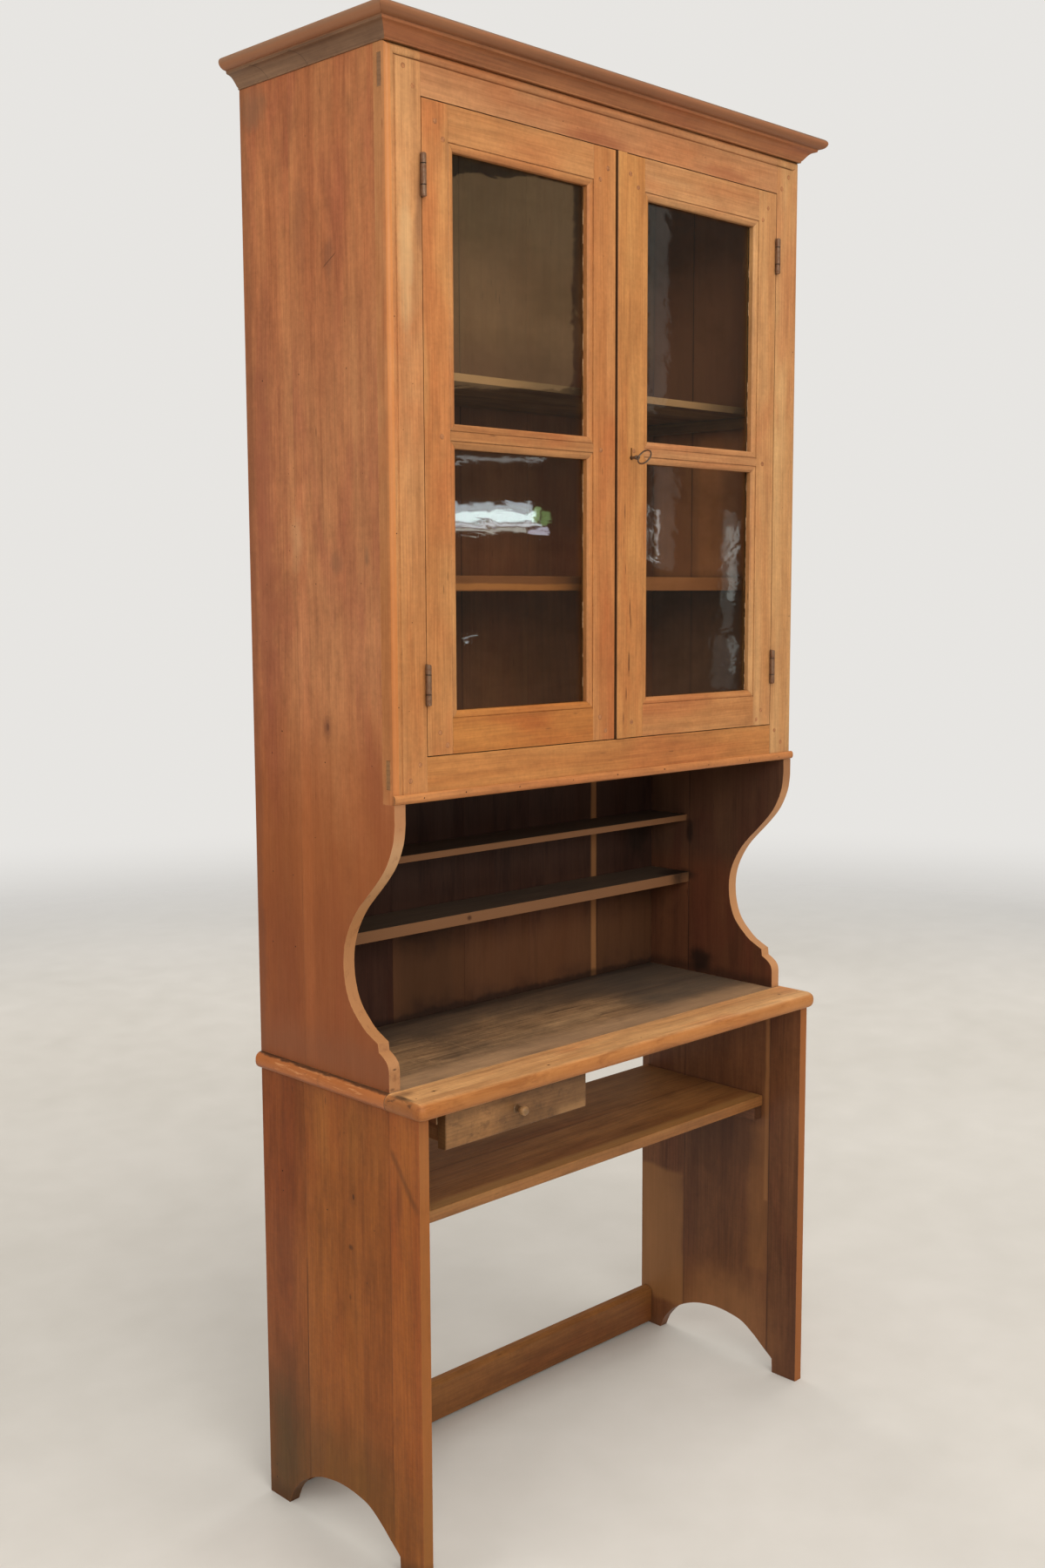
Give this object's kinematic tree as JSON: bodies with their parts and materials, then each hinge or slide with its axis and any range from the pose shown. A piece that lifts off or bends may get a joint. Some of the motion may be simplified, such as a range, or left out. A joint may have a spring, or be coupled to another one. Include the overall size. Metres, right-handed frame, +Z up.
{
  "type": "step back cupboard",
  "caption": "Step back cupboard: glazed upper case with hinged doors under a moulded cornice, open niche with scrolled sides, deeper base with desk top, drawer, open shelf and arched feet.",
  "frame": {"origin": "on the floor, at the centre of the footprint's bounding box", "axes": "+Z up, +Y to the back, +X to the right as seen from the front"},
  "size_m": [0.9854, 0.403, 2.2413],
  "materials": {
    "golden_wood": "waxed golden-orange softwood",
    "side_wood": "waxed reddish-brown softwood",
    "cornice_wood": "waxed brown softwood",
    "inner_wood": "dark aged softwood",
    "desk_wood": "worn grey-brown softwood",
    "base_wood": "waxed brown softwood",
    "drawer_wood": "worn tan softwood",
    "old_glass": "old window glass",
    "dark_iron": "dark wrought iron",
    "worn_steel": "worn steel"
  },
  "bodies": {
    "root": {"side_panel_left": "side_wood", "side_panel_right": "side_wood", "back_board_left": "inner_wood", "back_board_centre": "inner_wood", "back_board_right": "inner_wood", "top_board": "inner_wood", "cabinet_floor": "inner_wood", "cabinet_shelf_upper": "inner_wood", "cabinet_shelf_lower": "inner_wood", "niche_shelf_upper": "inner_wood", "niche_shelf_lower": "inner_wood", "frame_stile_left": "golden_wood", "frame_stile_right": "golden_wood", "frame_rail_top": "golden_wood", "frame_rail_bottom": "golden_wood", "frame_bead_bottom": "golden_wood", "cornice_front": "cornice_wood", "cornice_left": "cornice_wood", "cornice_right": "cornice_wood", "desk_top_board": "desk_wood", "desk_front_board": "golden_wood", "base_side_left": "base_wood", "base_side_right": "base_wood", "base_shelf": "base_wood", "shelf_cleat_left": "base_wood", "shelf_cleat_right": "base_wood", "base_stretcher": "base_wood", "drawer_runner_left": "base_wood", "drawer_runner_right": "base_wood", "hinge_left_lower_frame_half": "dark_iron", "hinge_left_upper_frame_half": "dark_iron", "hinge_right_lower_frame_half": "dark_iron", "hinge_right_upper_frame_half": "dark_iron"},
    "left_door": {"left_door_stile_hinge": "golden_wood", "left_door_stile_meeting": "golden_wood", "left_door_rail_top": "golden_wood", "left_door_rail_middle": "golden_wood", "left_door_rail_bottom": "golden_wood", "left_door_glass_upper": "old_glass", "left_door_glass_lower": "old_glass", "hinge_left_lower_door_half": "dark_iron", "hinge_left_upper_door_half": "dark_iron"},
    "right_door": {"right_door_stile_meeting": "golden_wood", "right_door_stile_hinge": "golden_wood", "right_door_rail_top": "golden_wood", "right_door_rail_middle": "golden_wood", "right_door_rail_bottom": "golden_wood", "right_door_glass_upper": "old_glass", "right_door_glass_lower": "old_glass", "hinge_right_lower_door_half": "dark_iron", "hinge_right_upper_door_half": "dark_iron", "lock_case": "dark_iron"},
    "bolt": {"lock_bolt": "worn_steel"},
    "key": {"key": "worn_steel"},
    "drawer": {"drawer_front": "drawer_wood", "drawer_side_left": "drawer_wood", "drawer_side_right": "drawer_wood", "drawer_back": "drawer_wood", "drawer_bottom": "drawer_wood", "drawer_knob": "base_wood"}
  },
  "joints": [
    {"name": "left_door_hinge", "type": "hinge", "parent": "root", "child": "left_door", "pos_m": [-0.39525, -0.1444, 1.684], "axis": [0, 0, 1], "range_deg": [-165, 0]},
    {"name": "right_door_hinge", "type": "hinge", "parent": "root", "child": "right_door", "pos_m": [0.39525, -0.1444, 1.684], "axis": [0, 0, 1], "range_deg": [0, 165]},
    {"name": "drawer_slide", "type": "slide", "parent": "root", "child": "drawer", "axis": [0, -1, 0], "range_m": [0, 0.22]},
    {"name": "key_turn", "type": "hinge", "parent": "right_door", "child": "key", "pos_m": [0.0323, -0.14, 1.6752], "axis": [0, -1, 0], "range_deg": [0, 180]},
    {"name": "bolt_slide", "type": "slide", "parent": "right_door", "child": "bolt", "axis": [-1, 0, 0], "range_m": [0, 0.012]}
  ],
  "couplings": [
    {"joint": "bolt_slide", "follows": "key_turn", "m_per_rad": 0.003819}
  ]
}
